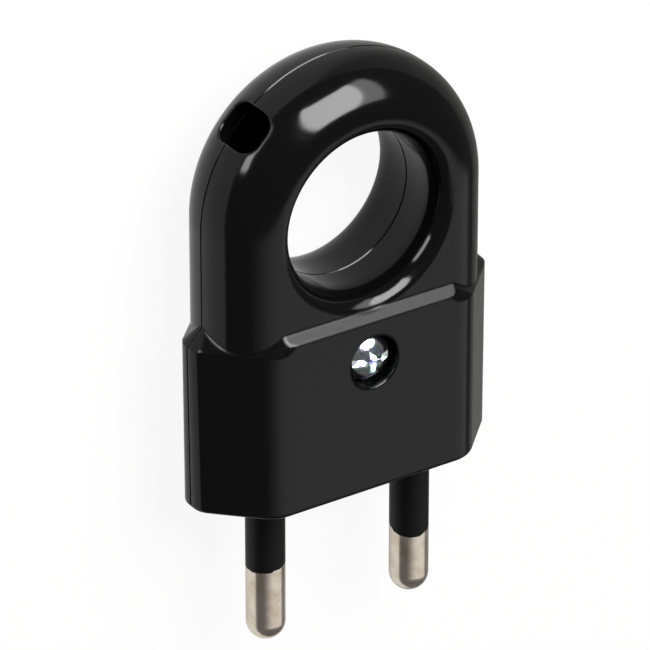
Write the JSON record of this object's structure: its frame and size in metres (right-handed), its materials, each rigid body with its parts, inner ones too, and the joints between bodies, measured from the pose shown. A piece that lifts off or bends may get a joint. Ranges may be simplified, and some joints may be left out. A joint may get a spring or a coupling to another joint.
{
  "type": "electrical plug",
  "caption": "Flat mains plug with half-sleeved round pins, a finger ring on top, a side cord inlet and a recessed screw that joins the halves of its housing.",
  "frame": {"origin": "middle of the bounding box's footprint, on the plane of the rear face that the plug lies on", "axes": "+X across the plug to the right of its front, +Y from the pins to the finger ring, +Z out of the front face"},
  "size_m": [0.0342, 0.0624, 0.0141],
  "materials": {
    "housing_plastic": "glossy black moulding",
    "sleeve_plastic": "matt black",
    "pin_metal": "nickel-plated, satin",
    "screw_metal": "bright zinc plating"
  },
  "bodies": {
    "root": {"front_shell": "housing_plastic", "rear_shell": "housing_plastic", "housing_screw": "screw_metal", "housing_nut": "screw_metal", "left_pin": "pin_metal", "right_pin": "pin_metal", "left_sleeve": "sleeve_plastic", "right_sleeve": "sleeve_plastic", "left_terminal_screw": "screw_metal", "right_terminal_screw": "screw_metal", "left_terminal_washer": "screw_metal", "right_terminal_washer": "screw_metal", "cord_clamp": "screw_metal", "clamp_screw_outer": "screw_metal", "clamp_screw_inner": "screw_metal"}
  },
  "joints": []
}
